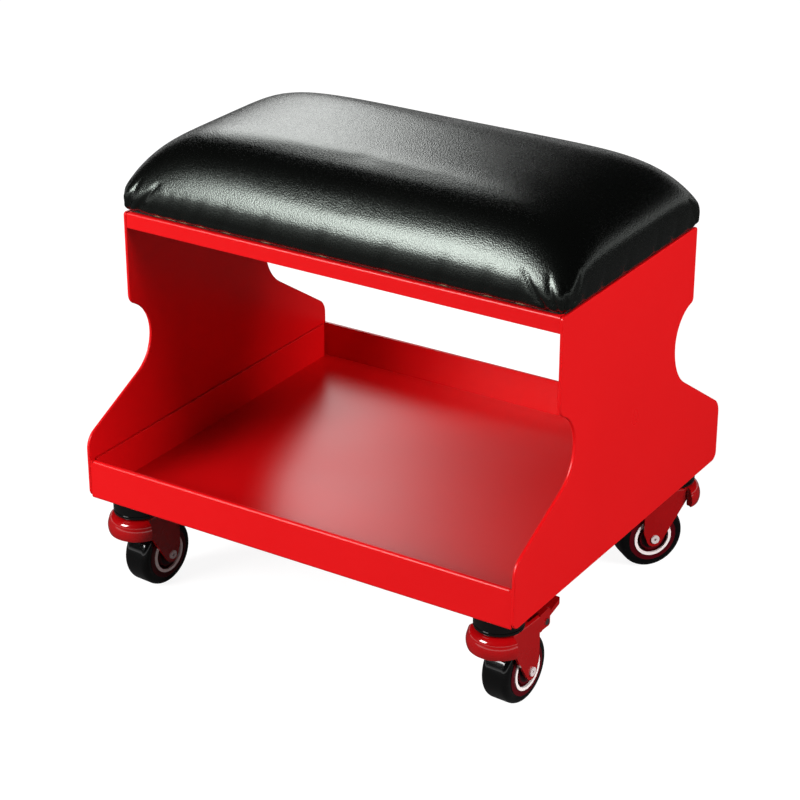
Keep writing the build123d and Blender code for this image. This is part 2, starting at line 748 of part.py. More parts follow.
def make_fork(corner):
    side_x, side_y, angle, braked = casters[corner]
    reach = leg_back if braked else fork_stub_reach
    rim_z = crown_top_z - crown_depth
    envelope = fork_envelope(corner, 0, reach)
    hollow = fork_envelope(corner, fork_sheet, reach + overrun)
    legs = [leg_sketch(corner, offset, braked) for offset in (cheek_inner, -cheek_outer)]
    rings = [
        ball_ring(corner, upper_ball_circle, upper_ball_z),
        ball_ring(corner, lower_ball_circle, lower_ball_z),
    ]
    with BuildPart() as fork:
        add(envelope)
        add(hollow, mode=Mode.SUBTRACT)
        # the arch's cheeks are cut back to the legs' outline
        with BuildSketch(level_plane(corner, rim_z - overrun)):
            with Locations(((reach - crown_step) / 2 + overrun, 0)):
                Rectangle(reach + crown_step + 2 * overrun, 2 * (cheek_outer + overrun))
        extrude(amount=crown_depth - fork_sheet + overrun, mode=Mode.SUBTRACT)
        for leg in legs:
            extrude(leg, amount=fork_sheet)
        # open roof behind the crown, for the wheel and the pedal
        with BuildSketch(level_plane(corner, crown_under_z - overrun)):
            with Locations(((crown_flat_radius + reach) / 2 + overrun, 0)):
                Rectangle(reach - crown_flat_radius + 2 * overrun, 2 * cheek_inner)
        extrude(amount=fork_sheet + 2 * overrun, mode=Mode.SUBTRACT)
        with BuildSketch(level_plane(corner, crown_under_z - overrun)):
            Circle(shank_diameter / 2 + shank_play)
        extrude(amount=fork_sheet + 2 * overrun, mode=Mode.SUBTRACT)
        add(rings, mode=Mode.SUBTRACT)
    return fork.part


def make_balls(corner, circle_diameter, count, ball_z):
    with BuildPart() as balls:
        with Locations(level_plane(corner, ball_z)):
            with PolarLocations(circle_diameter / 2, count):
                Sphere(ball_diameter / 2 - turning_clearance / 2)
    return balls.part


def make_axle(corner):
    half_grip = cheek_outer
    with BuildPart() as axle:
        with BuildSketch(side_plane(corner, -half_grip)):
            with Locations((caster_trail, wheel_radius)):
                Circle(axle_diameter / 2)
        extrude(amount=2 * half_grip)
        for offset in (half_grip, -(half_grip + axle_head_height)):
            with BuildSketch(side_plane(corner, offset)):
                with Locations((caster_trail, wheel_radius)):
                    Circle(axle_head_diameter / 2)
            extrude(amount=axle_head_height)
        for offset, direction in ((half_grip + axle_head_height, -1), (-(half_grip + axle_head_height), 1)):
            with BuildSketch(side_plane(corner, offset)):
                with Locations((caster_trail, wheel_radius)):
                    Circle(axle_dimple_diameter / 2)
            extrude(amount=direction * axle_dimple_depth, mode=Mode.SUBTRACT)
    return axle.part


def make_sleeve(corner):
    with BuildPart() as sleeve:
        with BuildSketch(side_plane(corner, -cheek_inner)):
            with Locations((caster_trail, wheel_radius)):
                Circle(sleeve_diameter / 2)
                Circle(axle_diameter / 2 + turning_clearance, mode=Mode.SUBTRACT)
        extrude(amount=2 * cheek_inner)
    return sleeve.part


def wheel_axis(corner):
    # the line through a wheel's middle, along its axle
    plane = side_plane(corner, 0)
    return Axis(plane.from_local_coords((caster_trail, wheel_radius)), plane.z_dir)


def wheel_section_plane(corner):
    # half sections of a wheel stand on it: x across the wheel, y outwards from its axle
    plane = side_plane(corner, 0)
    centre = plane.from_local_coords((caster_trail, wheel_radius))
    return Plane(origin=centre, x_dir=plane.z_dir, z_dir=-plane.x_dir)


core_radius = wheel_radius - tyre_thickness
ring_outer_radius = core_radius - ring_margin
ring_inner_radius = ring_outer_radius - ring_width
core_half_width = wheel_width / 2 - ring_height
sleeve_bore = sleeve_diameter / 2 + turning_clearance
bearing_outer_x = wheel_width / 2 - bearing_inset
bearing_inner_x = bearing_outer_x - bearing_width


def ring_section(corner, side, low_x, high_x, low_r, high_r):
    # half section of one ring about the axle, on one side of the wheel
    with BuildSketch(wheel_section_plane(corner)) as section:
        with Locations((side * (low_x + high_x) / 2, (low_r + high_r) / 2)):
            Rectangle(high_x - low_x, high_r - low_r)
    return section.sketch


def make_core(corner):
    past_face = core_half_width + overrun
    body = ring_section(corner, 1, -core_half_width, core_half_width, sleeve_bore, core_radius)
    cuts = []
    for side in (1, -1):
        cuts.append(ring_section(corner, side, web_thickness / 2, past_face, hub_radius, ring_inner_radius))
        cuts.append(ring_section(corner, side, bearing_inner_x, past_face, 0, bearing_diameter / 2))
        cuts.append(ring_section(
            corner, side, core_half_width - ring_depth, past_face, ring_inner_radius, ring_outer_radius))
    with BuildPart() as core:
        revolve(body, axis=wheel_axis(corner))
        revolve(cuts, axis=wheel_axis(corner), mode=Mode.SUBTRACT)
    return core.part


def make_hub_rings(corner):
    sections = [
        ring_section(corner, side, core_half_width - ring_depth, core_half_width + ring_height,
                     ring_inner_radius, ring_outer_radius)
        for side in (1, -1)
    ]
    with BuildPart() as rings:
        revolve(sections, axis=wheel_axis(corner))
    return rings.part


def make_bearings(corner):
    sections = [
        ring_section(corner, side, bearing_inner_x, bearing_outer_x, sleeve_bore, bearing_diameter / 2)
        for side in (1, -1)
    ]
    with BuildPart() as bearings:
        revolve(sections, axis=wheel_axis(corner))
    return bearings.part


def make_tyre(corner):
    with BuildPart() as tyre:
        with BuildSketch(wheel_section_plane(corner)) as section:
            with Locations((0, (core_radius + wheel_radius) / 2)):
                Rectangle(tyre_width, tyre_thickness)
            fillet(section.vertices().group_by(Axis.Y)[-1], radius=tyre_shoulder)
        revolve(axis=wheel_axis(corner))
    return tyre.part


# Brake: the pedal turns on a pin through the fork's ears, and its cam comes down on the tyre

pin_to_axle = hypot(brake_pin_reach - caster_trail, brake_pin_z - wheel_radius)
cam_length = pin_to_axle - wheel_radius - brake_cam_clearance
pedal_half_width = pedal_width / 2
brake_hub_half_width = cheek_inner - brake_side_play


def pedal_place(reach, rise):
    return (brake_pin_reach + reach, brake_pin_z + rise)


def make_brake_pedal(corner):
    press = radians(brake_press_angle)
    to_axle = (
        (caster_trail - brake_pin_reach) / pin_to_axle,
        (wheel_radius - brake_pin_z) / pin_to_axle,
    )
    # at rest the cam points away from the axle by the angle that the pedal is pressed
    cam_x = to_axle[0] * cos(press) - to_axle[1] * sin(press)
    cam_z = to_axle[0] * sin(press) + to_axle[1] * cos(press)
    rise = pedal_tip_rise + pedal_neck_drop
    run = pedal_tip_reach - pedal_neck_reach
    lift_x = -rise / hypot(run, rise) * pedal_sheet
    lift_z = run / hypot(run, rise) * pedal_sheet
    with BuildPart() as pedal:
        with BuildSketch(side_plane(corner, -pedal_half_width)):
            Polygon(
                pedal_place(0, -brake_hub_radius / 2),
                pedal_place(pedal_neck_reach, -pedal_neck_drop),
                pedal_place(pedal_tip_reach, pedal_tip_rise),
                pedal_place(pedal_tip_reach + lift_x, pedal_tip_rise + lift_z),
                pedal_place(pedal_neck_reach + lift_x, lift_z - pedal_neck_drop),
                pedal_place(0, brake_hub_radius / 2),
                align=None,
            )
        extrude(amount=2 * pedal_half_width)
        # turned-down sides of the pedal
        for offset in (-pedal_half_width, pedal_half_width - pedal_sheet):
            with BuildSketch(side_plane(corner, offset)):
                Polygon(
                    pedal_place(pedal_neck_reach, -pedal_neck_drop),
                    pedal_place(pedal_neck_reach + pedal_flange, -pedal_neck_drop - pedal_flange / 2),
                    pedal_place(pedal_tip_reach - pedal_flange, pedal_tip_rise - pedal_flange),
                    pedal_place(pedal_tip_reach, pedal_tip_rise),
                    align=None,
                )
            extrude(amount=pedal_sheet)
        # rounded outer end
        with BuildSketch(level_plane(corner, 0)):
            with Locations((brake_pin_reach + pedal_tip_reach - pedal_corner / 2, 0)):
                Rectangle(pedal_corner + overrun, 2 * pedal_half_width + overrun)
            with Locations((brake_pin_reach + pedal_tip_reach - 2 * pedal_corner, 0)):
                RectangleRounded(4 * pedal_corner, 2 * pedal_half_width, pedal_corner, mode=Mode.SUBTRACT)
        extrude(amount=top_z, mode=Mode.SUBTRACT)
        with BuildSketch(side_plane(corner, -brake_hub_half_width)):
            with Locations((brake_pin_reach, brake_pin_z)):
                Circle(brake_hub_radius)
        extrude(amount=2 * brake_hub_half_width)
        # cam between hub and tyre
        with BuildSketch(side_plane(corner, -pedal_half_width)):
            with BuildLine():
                CenterArc((brake_pin_reach, brake_pin_z), brake_hub_radius, 0, 360)
                CenterArc(
                    pedal_place(cam_x * (cam_length - brake_cam_width / 2),
                                cam_z * (cam_length - brake_cam_width / 2)),
                    brake_cam_width / 2, 0, 360)
            make_hull()
        extrude(amount=2 * pedal_half_width)
        with BuildSketch(side_plane(corner, -cheek_inner)):
            with Locations((brake_pin_reach, brake_pin_z)):
                Circle(brake_pin_diameter / 2 + turning_clearance)
        extrude(amount=2 * cheek_inner, mode=Mode.SUBTRACT)
    return pedal.part


def make_brake_pin(corner):
    with BuildPart() as pin:
        with BuildSketch(side_plane(corner, -cheek_outer)):
            with Locations((brake_pin_reach, brake_pin_z)):
                Circle(brake_pin_diameter / 2)
        extrude(amount=2 * cheek_outer)
        for offset in (cheek_outer, -(cheek_outer + brake_pin_head_height)):
            with BuildSketch(side_plane(corner, offset)):
                with Locations((brake_pin_reach, brake_pin_z)):
                    Circle(brake_pin_head_diameter / 2)
            extrude(amount=brake_pin_head_height)
    return pin.part


for corner, (side_x, side_y, angle, braked) in casters.items():
    save(make_fork(corner), "fork_" + corner)
    save(make_balls(corner, upper_ball_circle, upper_ball_count, upper_ball_z), "upper_balls_" + corner)
    save(make_balls(corner, lower_ball_circle, lower_ball_count, lower_ball_z), "lower_balls_" + corner)
    save(make_axle(corner), "axle_rivet_" + corner)
    save(make_sleeve(corner), "axle_sleeve_" + corner)
    save(make_core(corner), "wheel_core_" + corner)
    save(make_hub_rings(corner), "hub_rings_" + corner)
    save(make_bearings(corner), "wheel_bearings_" + corner)
    save(make_tyre(corner), "tyre_" + corner)
    if braked:
        save(make_brake_pedal(corner), "brake_pedal_" + corner)
        save(make_brake_pin(corner), "brake_pin_" + corner)
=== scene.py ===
import json
import math

import bpy
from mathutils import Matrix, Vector, noise


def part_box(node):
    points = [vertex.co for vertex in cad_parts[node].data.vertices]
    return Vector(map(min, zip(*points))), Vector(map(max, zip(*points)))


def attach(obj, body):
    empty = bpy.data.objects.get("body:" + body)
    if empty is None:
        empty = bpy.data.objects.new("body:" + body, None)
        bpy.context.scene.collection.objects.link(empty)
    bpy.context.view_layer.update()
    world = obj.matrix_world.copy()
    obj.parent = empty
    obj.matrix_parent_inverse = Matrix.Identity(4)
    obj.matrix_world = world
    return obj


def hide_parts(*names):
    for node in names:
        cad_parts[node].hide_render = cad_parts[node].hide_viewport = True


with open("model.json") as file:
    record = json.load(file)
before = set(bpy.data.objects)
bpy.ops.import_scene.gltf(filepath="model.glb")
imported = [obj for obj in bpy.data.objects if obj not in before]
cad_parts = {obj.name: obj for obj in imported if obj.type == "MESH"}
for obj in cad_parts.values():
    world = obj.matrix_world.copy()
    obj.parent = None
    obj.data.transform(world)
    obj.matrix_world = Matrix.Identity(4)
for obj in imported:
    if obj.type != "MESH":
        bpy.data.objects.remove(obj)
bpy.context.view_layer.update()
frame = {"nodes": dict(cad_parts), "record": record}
nodes = frame["nodes"]
bpy.ops.object.select_all(action="DESELECT")
print("frame loaded:", len(nodes), "nodes")


# camera: where the photograph was taken from

camera = {
    "place": (1.04777, -1.65431, 1.09696),
    "azimuth": 32.56,
    "elevation": 25.13,
    "lens": 106.97,
    "sensor": 36.0,
    "clip": (0.05, 60.0),
}


def makeCamera(settings):
    data = bpy.data.cameras.new("camera")
    data.lens = settings["lens"]
    data.sensor_width = settings["sensor"]
    data.clip_start, data.clip_end = settings["clip"]
    holder = bpy.data.objects.new("camera", data)
    bpy.context.scene.collection.objects.link(holder)
    holder.location = settings["place"]
    tilt = math.radians(90.0 - settings["elevation"])
    holder.rotation_euler = (tilt, 0.0, math.radians(settings["azimuth"]))
    bpy.context.scene.camera = holder


makeCamera(camera)
print("camera placed")


# small helpers for node trees

def addNode(tree, kind, place, **values):
    node = tree.nodes.new(kind)
    node.location = place
    for name, value in values.items():
        setattr(node, name, value)
    return node


def setInputs(node, values):
    for name, value in values.items():
        node.inputs[name].default_value = value


def join(tree, fromNode, fromSocket, toNode, toSocket):
    tree.links.new(fromNode.outputs[fromSocket], toNode.inputs[toSocket])


def makeGroup(name, inputs, outputs):
    tree = bpy.data.node_groups.new(name, "ShaderNodeTree")
    for label, kind, value in inputs:
        socket = tree.interface.new_socket(label, in_out="INPUT", socket_type=kind)
        if value is not None:
            socket.default_value = value
    for label in outputs:
        tree.interface.new_socket(label, in_out="OUTPUT", socket_type="NodeSocketFloat")
    start = addNode(tree, "NodeGroupInput", (-900, 0))
    end = addNode(tree, "NodeGroupOutput", (500, 0))
    return tree, start, end


# shared effects

def makePaintPeel():
    # fine orange peel of a cured coating, and slow patches for tint and gloss
    tree, start, end = makeGroup(
        "paintPeel",
        [("Place", "NodeSocketVector", None), ("Scale", "NodeSocketFloat", 300.0),
         ("Patch Scale", "NodeSocketFloat", 9.0)],
        ["Height", "Patches"])
    peel = addNode(tree, "ShaderNodeTexNoise", (-500, 200))
    setInputs(peel, {"Detail": 2.0, "Roughness": 0.45})
    patches = addNode(tree, "ShaderNodeTexNoise", (-500, -200))
    setInputs(patches, {"Detail": 3.0, "Roughness": 0.5})
    for node, scale in ((peel, "Scale"), (patches, "Patch Scale")):
        join(tree, start, "Place", node, "Vector")
        join(tree, start, scale, node, "Scale")
    join(tree, peel, "Fac", end, "Height")
    join(tree, patches, "Fac", end, "Patches")
    return tree


def makePebbleGrain():
    # rounded pebbles of embossed vinyl, broken up by noise, with finer pores on top
    tree, start, end = makeGroup(
        "pebbleGrain",
        [("Place", "NodeSocketVector", None), ("Scale", "NodeSocketFloat", 550.0),
         ("Pore Scale", "NodeSocketFloat", 2400.0)],
        ["Height", "Valleys"])
    pebbles = addNode(tree, "ShaderNodeTexVoronoi", (-600, 250), feature="SMOOTH_F1")
    setInputs(pebbles, {"Smoothness": 0.35, "Randomness": 1.0})
    pores = addNode(tree, "ShaderNodeTexNoise", (-600, -150))
    setInputs(pores, {"Detail": 2.0, "Roughness": 0.6})
    join(tree, start, "Place", pebbles, "Vector")
    join(tree, start, "Scale", pebbles, "Scale")
    join(tree, start, "Place", pores, "Vector")
    join(tree, start, "Pore Scale", pores, "Scale")
    dome = addNode(tree, "ShaderNodeMapRange", (-350, 250))
    setInputs(dome, {"From Min": 0.1, "From Max": 0.75, "To Min": 1.0, "To Max": 0.0})
    join(tree, pebbles, "Distance", dome, "Value")
    poreShare = 0.35
    share = addNode(tree, "ShaderNodeMath", (-150, -150), operation="MULTIPLY")
    share.inputs[1].default_value = poreShare
    join(tree, pores, "Fac", share, 0)
    total = addNode(tree, "ShaderNodeMath", (100, 150), operation="ADD")
    join(tree, dome, "Result", total, 0)
    join(tree, share, "Value", total, 1)
    valleys = addNode(tree, "ShaderNodeMath", (100, -150), operation="SUBTRACT")
    valleys.inputs[0].default_value = 1.0
    join(tree, dome, "Result", valleys, 1)
    join(tree, total, "Value", end, "Height")
    join(tree, valleys, "Value", end, "Valleys")
    return tree


def makeDustFilm():
    # thin uneven film that dulls a surface where the noise is high
    tree, start, end = makeGroup(
        "dustFilm",
        [("Place", "NodeSocketVector", None), ("Scale", "NodeSocketFloat", 14.0),
         ("Falloff", "NodeSocketFloat", 2.0)],
        ["Mask"])
    cloud = addNode(tree, "ShaderNodeTexNoise", (-600, 100))
    setInputs(cloud, {"Detail": 2.0, "Roughness": 0.5})
    join(tree, start, "Place", cloud, "Vector")
    join(tree, start, "Scale", cloud, "Scale")
    limit = addNode(tree, "ShaderNodeMath", (-250, 100), operation="POWER")
    join(tree, cloud, "Fac", limit, 0)
    join(tree, start, "Falloff", limit, 1)
    join(tree, limit, "Value", end, "Mask")
    return tree


def makeTurnedMetal():
    # fine circular tool marks and cloudy plating
    tree, start, end = makeGroup(
        "turnedMetal",
        [("Place", "NodeSocketVector", None), ("Scale", "NodeSocketFloat", 900.0),
         ("Cloud Scale", "NodeSocketFloat", 60.0)],
        ["Height", "Clouds"])
    marks = addNode(tree, "ShaderNodeTexNoise", (-600, 200))
    setInputs(marks, {"Detail": 4.0, "Roughness": 0.7})
    clouds = addNode(tree, "ShaderNodeTexNoise", (-600, -200))
    setInputs(clouds, {"Detail": 3.0, "Roughness": 0.55})
    for node, scale in ((marks, "Scale"), (clouds, "Cloud Scale")):
        join(tree, start, "Place", node, "Vector")
        join(tree, start, scale, node, "Scale")
    join(tree, marks, "Fac", end, "Height")
    join(tree, clouds, "Fac", end, "Clouds")
    return tree


paintPeel = makePaintPeel()
pebbleGrain = makePebbleGrain()
dustFilm = makeDustFilm()
turnedMetal = makeTurnedMetal()
print("shared effects made")


# materials, one settings dictionary each

def startMaterial(name):
    material = bpy.data.materials.new(name)
    material.use_nodes = True
    tree = material.node_tree
    shader = tree.nodes["Principled BSDF"]
    place = addNode(tree, "ShaderNodeTexCoord", (-1300, 0))
    return material, tree, shader, place


def placeGroup(tree, group, at, place, values):
    node = addNode(tree, "ShaderNodeGroup", at)
    node.node_tree = group
    setInputs(node, values)
    join(tree, place, "Object", node, "Place")
    return node


def mixColours(tree, at, low, high, source, socket):
    mix = addNode(tree, "ShaderNodeMix", at, data_type="RGBA")
    mix.inputs["A"].default_value = (*low, 1.0)
    mix.inputs["B"].default_value = (*high, 1.0)
    tree.links.new(source.outputs[socket], mix.inputs["Factor"])
    return mix


def mapValue(tree, at, span, source, socket):
    # a mask from 0 to 1 turned into a range of values
    node = addNode(tree, "ShaderNodeMapRange", at)
    low, high = span
    setInputs(node, {"From Min": 0.0, "From Max": 1.0, "To Min": low, "To Max": high})
    join(tree, source, socket, node, "Value")
    return node


def addBump(tree, at, strength, distance, source, socket, shader):
    bump = addNode(tree, "ShaderNodeBump", at)
    setInputs(bump, {"Strength": strength, "Distance": distance})
    join(tree, source, socket, bump, "Height")
    join(tree, bump, "Normal", shader, "Normal")


def addFilm(tree, settings, place, gloss, shader):
    # roughness: the surface's own, dulled where the film is thick
    film = placeGroup(tree, dustFilm, (-1000, -300), place,
                      {"Scale": settings["filmScale"], "Falloff": settings["filmFalloff"]})
    dull = addNode(tree, "ShaderNodeMath", (-350, -100), operation="MULTIPLY_ADD")
    dull.inputs[1].default_value = settings["filmShare"]
    join(tree, film, "Mask", dull, 0)
    join(tree, gloss, "Result", dull, 2)
    join(tree, dull, "Value", shader, "Roughness")


redPaint = {
    "low": (0.60, 0.0030, 0.0045),
    "high": (0.67, 0.0042, 0.0060),
    "roughness": (0.25, 0.31),
    "filmShare": 0.03,
    "filmScale": 11.0,
    "filmFalloff": 2.0,
    "specular": 0.36,
    "patchScale": 7.0,
    "peelScale": 420.0,
    "peelStrength": 0.07,
    "peelDepth": 0.00012,
}


def makeRedPaint(settings):
    material, tree, shader, place = startMaterial("redPowderCoat")
    peel = placeGroup(tree, paintPeel, (-1000, 100), place,
                      {"Scale": settings["peelScale"], "Patch Scale": settings["patchScale"]})
    tint = mixColours(tree, (-600, 300), settings["low"], settings["high"], peel, "Patches")
    join(tree, tint, "Result", shader, "Base Color")
    gloss = mapValue(tree, (-600, 0), settings["roughness"], peel, "Patches")
    addFilm(tree, settings, place, gloss, shader)
    setInputs(shader, {"Specular IOR Level": settings["specular"]})
    addBump(tree, (-300, -350), settings["peelStrength"], settings["peelDepth"], peel, "Height", shader)
    return material


blackVinyl = {
    "low": (0.0006, 0.0007, 0.0006),
    "high": (0.0016, 0.0018, 0.0016),
    "roughness": (0.15, 0.27),
    "specular": 0.95,
    "shine": (0.90, 1.0, 0.92, 1.0),
    "filmShare": 0.06,
    "filmScale": 16.0,
    "filmFalloff": 2.0,
    "grainScale": 800.0,
    "poreScale": 2900.0,
    "grainStrength": 0.24,
    "grainDepth": 0.00035,
}


def makeBlackVinyl(settings):
    material, tree, shader, place = startMaterial("blackVinyl")
    grain = placeGroup(tree, pebbleGrain, (-1000, 200), place,
                       {"Scale": settings["grainScale"], "Pore Scale": settings["poreScale"]})
    # the pebble valleys take the darker tint: painted shade in the grain's hollows
    tint = mixColours(tree, (-600, 300), settings["high"], settings["low"], grain, "Valleys")
    join(tree, tint, "Result", shader, "Base Color")
    gloss = mapValue(tree, (-600, 0), settings["roughness"], grain, "Valleys")
    addFilm(tree, settings, place, gloss, shader)
    setInputs(shader, {"Specular IOR Level": settings["specular"], "Specular Tint": settings["shine"]})
    addBump(tree, (-300, -350), settings["grainStrength"], settings["grainDepth"], grain, "Height", shader)
    return material


# plain moulded finishes: tint range, roughness range, grain scale, bump, sheen of the body, coat
mouldedFinishes = {
    # glossy enamel of the forks and pedals; its red is darker than the sheets' red, painted shade for their
    # place under the tray
    "casterEnamelPaintedShade": {
        "low": (0.30, 0.0010, 0.0020), "high": (0.37, 0.0014, 0.0028), "roughness": (0.24, 0.32),
        "scale": 500.0, "strength": 0.04, "depth": 0.0001, "specular": 0.10,
        "coat": 1.0, "coatRoughness": 0.03, "coatIor": 1.80,
    },
    "blackCover": {
        "low": (0.0008, 0.0008, 0.0008), "high": (0.0020, 0.0020, 0.0020), "roughness": (0.24, 0.34),
        "scale": 700.0, "strength": 0.05, "depth": 0.0001, "specular": 0.10,
        "coat": 1.0, "coatRoughness": 0.03, "coatIor": 1.70,
    },
    "tyreBlack": {
        "low": (0.0008, 0.0008, 0.0008), "high": (0.0020, 0.0020, 0.0022), "roughness": (0.2, 0.3),
        "scale": 500.0, "strength": 0.05, "depth": 0.0001, "specular": 0.15,
        "coat": 0.9, "coatRoughness": 0.05, "coatIor": 1.60,
    },
    "maroonCore": {
        "low": (0.060, 0.0006, 0.0030), "high": (0.085, 0.0012, 0.0045), "roughness": (0.24, 0.34),
        "scale": 450.0, "strength": 0.06, "depth": 0.0001, "specular": 0.20,
        "coat": 0.4, "coatRoughness": 0.08, "coatIor": 1.50,
    },
    "whiteRing": {
        "low": (0.92, 0.80, 0.79), "high": (0.96, 0.88, 0.86), "roughness": (0.3, 0.42),
        "scale": 600.0, "strength": 0.05, "depth": 0.0001, "specular": 0.50,
        "coat": 0.2, "coatRoughness": 0.15, "coatIor": 1.50,
    },
    # rivet heads: a pale pinkish non-metal stands in for the plated metal, with its bright reflection of
    # the red parts painted into the colour
    "rivetHeadPaintedReflection": {
        "low": (0.62, 0.52, 0.52), "high": (0.76, 0.66, 0.66), "roughness": (0.22, 0.34),
        "scale": 800.0, "strength": 0.06, "depth": 0.0001, "specular": 0.80,
        "coat": 0.5, "coatRoughness": 0.08, "coatIor": 1.70,
    },
    "bearingShield": {
        "low": (0.012, 0.004, 0.005), "high": (0.03, 0.008, 0.010), "roughness": (0.3, 0.45),
        "scale": 900.0, "strength": 0.06, "depth": 0.0001, "specular": 0.30,
        "coat": 0.3, "coatRoughness": 0.15, "coatIor": 1.50,
    },
    "foamBlock": {
        "low": (0.62, 0.55, 0.36), "high": (0.80, 0.74, 0.54), "roughness": (0.85, 0.95),
        "scale": 1400.0, "strength": 0.7, "depth": 0.0006, "specular": 0.30,
        "coat": 0.0, "coatRoughness": 0.5, "coatIor": 1.50,
    },
}


mouldedPatchScale = 45.0


def makeMoulded(name, settings):
    material, tree, shader, place = startMaterial(name)
    peel = placeGroup(tree, paintPeel, (-1000, 100), place,
                      {"Scale": settings["scale"], "Patch Scale": mouldedPatchScale})
    tint = mixColours(tree, (-600, 300), settings["low"], settings["high"], peel, "Patches")
    join(tree, tint, "Result", shader, "Base Color")
    gloss = mapValue(tree, (-600, 0), settings["roughness"], peel, "Patches")
    join(tree, gloss, "Result", shader, "Roughness")
    setInputs(shader, {"Specular IOR Level": settings["specular"], "Coat Weight": settings["coat"],
                       "Coat Roughness": settings["coatRoughness"], "Coat IOR": settings["coatIor"]})
    addBump(tree, (-300, -350), settings["strength"], settings["depth"], peel, "Height", shader)
    return material


zincPlate = {
    "low": (0.52, 0.52, 0.51),
    "high": (0.74, 0.74, 0.72),
    "roughness": (0.2, 0.38),
    "markScale": 1600.0,
    "cloudScale": 90.0,
    "strength": 0.12,
    "depth": 0.00008,
}


def makeZincPlate(settings):
    material, tree, shader, place = startMaterial("zincPlatedSteel")
    metal = placeGroup(tree, turnedMetal, (-1000, 100), place,
                       {"Scale": settings["markScale"], "Cloud Scale": settings["cloudScale"]})
    tint = mixColours(tree, (-600, 300), settings["low"], settings["high"], metal, "Clouds")
    join(tree, tint, "Result", shader, "Base Color")
    gloss = mapValue(tree, (-600, 0), settings["roughness"], metal, "Clouds")
    join(tree, gloss, "Result", shader, "Roughness")
    setInputs(shader, {"Metallic": 1.0})
    addBump(tree, (-300, -350), settings["strength"], settings["depth"], metal, "Height", shader)
    return material


plywood = {
    "low": (0.30, 0.18, 0.085),
    "high": (0.52, 0.36, 0.20),
    "roughness": (0.6, 0.8),
    "stretch": (1.0, 9.0, 9.0),
    "bands": {"Scale": 26.0, "Detail": 6.0, "Roughness": 0.6, "Distortion": 0.4},
    "strength": 0.2,
    "depth": 0.0003,
}


def makePlywood(settings):
    material, tree, shader, place = startMaterial("plywood")
    turn = addNode(tree, "ShaderNodeMapping", (-1100, 150))
    turn.inputs["Scale"].default_value = settings["stretch"]
    join(tree, place, "Object", turn, "Vector")
    bands = addNode(tree, "ShaderNodeTexNoise", (-850, 150))
    setInputs(bands, settings["bands"])
    join(tree, turn, "Vector", bands, "Vector")
    tint = mixColours(tree, (-500, 300), settings["low"], settings["high"], bands, "Fac")
    join(tree, tint, "Result", shader, "Base Color")
    gloss = mapValue(tree, (-500, 0), settings["roughness"], bands, "Fac")
    join(tree, gloss, "Result", shader, "Roughness")
    addBump(tree, (-300, -350), settings["strength"], settings["depth"], bands, "Fac", shader)
    return material


finishes = {
    "red_powder": makeRedPaint(redPaint),
    "black_vinyl": makeBlackVinyl(blackVinyl),
    "zinc": makeZincPlate(zincPlate),
    "plywood": makePlywood(plywood),
    "foam": makeMoulded("foamBlock", mouldedFinishes["foamBlock"]),
    "black_plastic": makeMoulded("blackCover", mouldedFinishes["blackCover"]),
    "black_tyre": makeMoulded("tyreBlack", mouldedFinishes["tyreBlack"]),
    "maroon_plastic": makeMoulded("maroonCore", mouldedFinishes["maroonCore"]),
    "white_plastic": makeMoulded("whiteRing", mouldedFinishes["whiteRing"]),
}


# forks and pedals are glossier than the sheets and a darker red, which is painted shade from under the
# tray; bearings have dark shields; rivet heads are a pale pinkish non-metal, a painted reflection of the
# plated metal
ownFinishes = {
    "fork_": makeMoulded("casterEnamelPaintedShade", mouldedFinishes["casterEnamelPaintedShade"]),
    "wheel_bearings_": makeMoulded("bearingShield", mouldedFinishes["bearingShield"]),
    "axle_rivet_": makeMoulded("rivetHeadPaintedReflection", mouldedFinishes["rivetHeadPaintedReflection"]),
}
ownFinishes["brake_pedal_"] = ownFinishes["fork_"]


def dressNodes():
    for row in frame["record"]["subparts"]:
        piece = nodes[row["node"]]
        finish = finishes[row["material_slot"]]
        for start, own in ownFinishes.items():
            if row["node"].startswith(start):
                finish = own
        if not piece.material_slots:
            piece.data.materials.append(finish)
        for slot in piece.material_slots:
            slot.material = finish


dressNodes()
print("materials made and placed")


# cushion: vinyl over foam, crowned from front to back, drawn in under the board

cushion = {
    "length": 0.4535,
    "depth": 0.2505,
    "shiftY": 0.0015,
    "edgeHeight": 0.0140,
    "crown": 0.0610,
    "leftPower": 5.6,
    "rightPower": 6.8,
    "lengthRoot": 2.25,
    "depthPower": 5.6,
    "depthRoot": 1.08,
    "cornerRadius": 0.0100,
    "cornerSegments": 8,
    "clearance": 0.0003,
    # the blank: how far inside the real size it starts, and how thick it is before it is crowned
    "startInset": 0.0030,
    "slabHeight": 0.02,
    "voxel": 0.0037,
    # the underside that the board holds: how high it reaches, and how far it may face up
    "heldHeight": 0.002,
    "heldFacing": -0.6,
    "quality": 6,
    "mass": 0.3,
    "tension": 40.0,
    "shear": 20.0,
    "bending": 6.0,
    "pressure": 4.0,
    "frames": 20,
    # the most that a point may move, and the passes that smooth it after that
    "cap": 0.0008,
    "smoothing": 10,
}


def crownHeight(settings, x, y):
    # height over the pan at a place in plan
    u = min(1.0, abs(x) / (settings["length"] / 2))
    v = min(1.0, abs(y - settings["shiftY"]) / (settings["depth"] / 2))
    power = settings["rightPower"] if x > 0 else settings["leftPower"]
    along = (1.0 - u ** power) ** (1.0 / settings["lengthRoot"])
    across = (1.0 - v ** settings["depthPower"]) ** (1.0 / settings["depthRoot"])
    return settings["edgeHeight"] + settings["crown"] * along * across


def remesh(piece, voxel):
    modifier = piece.modifiers.new("remesh", "REMESH")
    modifier.mode = "VOXEL"
    modifier.voxel_size = voxel
    modifier.use_smooth_shade = True
    bpy.ops.object.modifier_apply(modifier=modifier.name)


